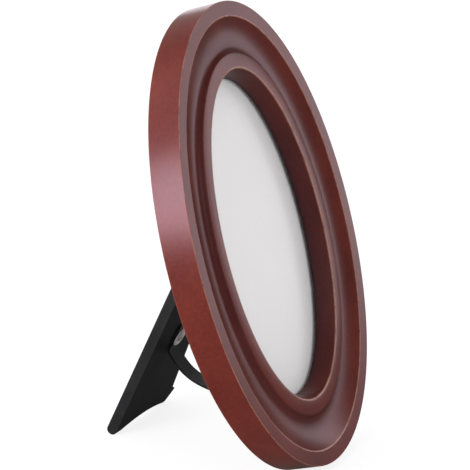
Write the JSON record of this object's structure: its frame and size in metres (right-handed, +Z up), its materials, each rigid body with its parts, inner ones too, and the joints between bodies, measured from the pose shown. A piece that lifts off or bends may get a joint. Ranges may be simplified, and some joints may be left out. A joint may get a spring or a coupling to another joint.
{
  "type": "oval picture frame",
  "caption": "Oval stained wood table frame, leaning back on a hinged easel leg with a stay strap, glass and a blank insert held by turn buttons.",
  "frame": {"origin": "middle of the bottom of the box round the standing object, on the table", "axes": "+Z up, the picture faces -Y and leans back, +X is on the viewer's right"},
  "size_m": [0.1616, 0.1142, 0.2063],
  "materials": {
    "stained_wood": "dark red stain, satin, edges rubbed to light wood",
    "clear_glass": "clear, polished",
    "pale_card": "pale grey, matt",
    "grey_card": "grey board, matt",
    "black_board": "fibreboard in fine grained black paper",
    "hinge_steel": "plated, satin",
    "rivet_steel": "plated, satin",
    "eyelet_nickel": "nickel, satin",
    "black_tape": "narrow woven tape",
    "screw_steel": "plated, satin",
    "button_steel": "stamped and plated, satin",
    "hanger_brass": "brassed steel, satin"
  },
  "bodies": {
    "frame": {"moulding": "stained_wood", "glass_pane": "clear_glass", "blank_insert": "pale_card", "filler_card": "grey_card", "easel_back": "black_board", "board_hinge_leaf": "hinge_steel", "board_leaf_rivets": "rivet_steel", "hinge_pin": "hinge_steel", "board_eyelet": "eyelet_nickel", "stay_strap": "black_tape", "button_screws": "screw_steel", "wall_hanger": "hanger_brass", "hanger_nails": "hanger_brass"},
    "leg": {"support_leg": "black_board", "leg_hinge_leaf": "hinge_steel", "leg_leaf_rivets": "rivet_steel", "leg_eyelet": "eyelet_nickel"},
    "button_upper_right": {"turn_button_upper_right": "button_steel"},
    "button_upper_left": {"turn_button_upper_left": "button_steel"},
    "button_lower_left": {"turn_button_lower_left": "button_steel"},
    "button_lower_right": {"turn_button_lower_right": "button_steel"}
  },
  "joints": [
    {"name": "leg_hinge", "type": "hinge", "parent": "frame", "child": "leg", "pos_m": [0, -0.00618, 0.12041], "axis": [1, 0, 0], "range_deg": [-40, 0], "deforming": ["stay_strap"]},
    {"name": "turn_upper_right", "type": "hinge", "parent": "frame", "child": "button_upper_right", "pos_m": [0.0449, 0.00063, 0.15085], "axis": [0, 0.9616, -0.2743], "continuous": true},
    {"name": "turn_upper_left", "type": "hinge", "parent": "frame", "child": "button_upper_left", "pos_m": [-0.0449, 0.00063, 0.15085], "axis": [0, 0.9616, -0.2743], "continuous": true},
    {"name": "turn_lower_left", "type": "hinge", "parent": "frame", "child": "button_lower_left", "pos_m": [-0.0449, -0.02798, 0.05058], "axis": [0, 0.9616, -0.2743], "continuous": true},
    {"name": "turn_lower_right", "type": "hinge", "parent": "frame", "child": "button_lower_right", "pos_m": [0.0449, -0.02798, 0.05058], "axis": [0, 0.9616, -0.2743], "continuous": true}
  ]
}
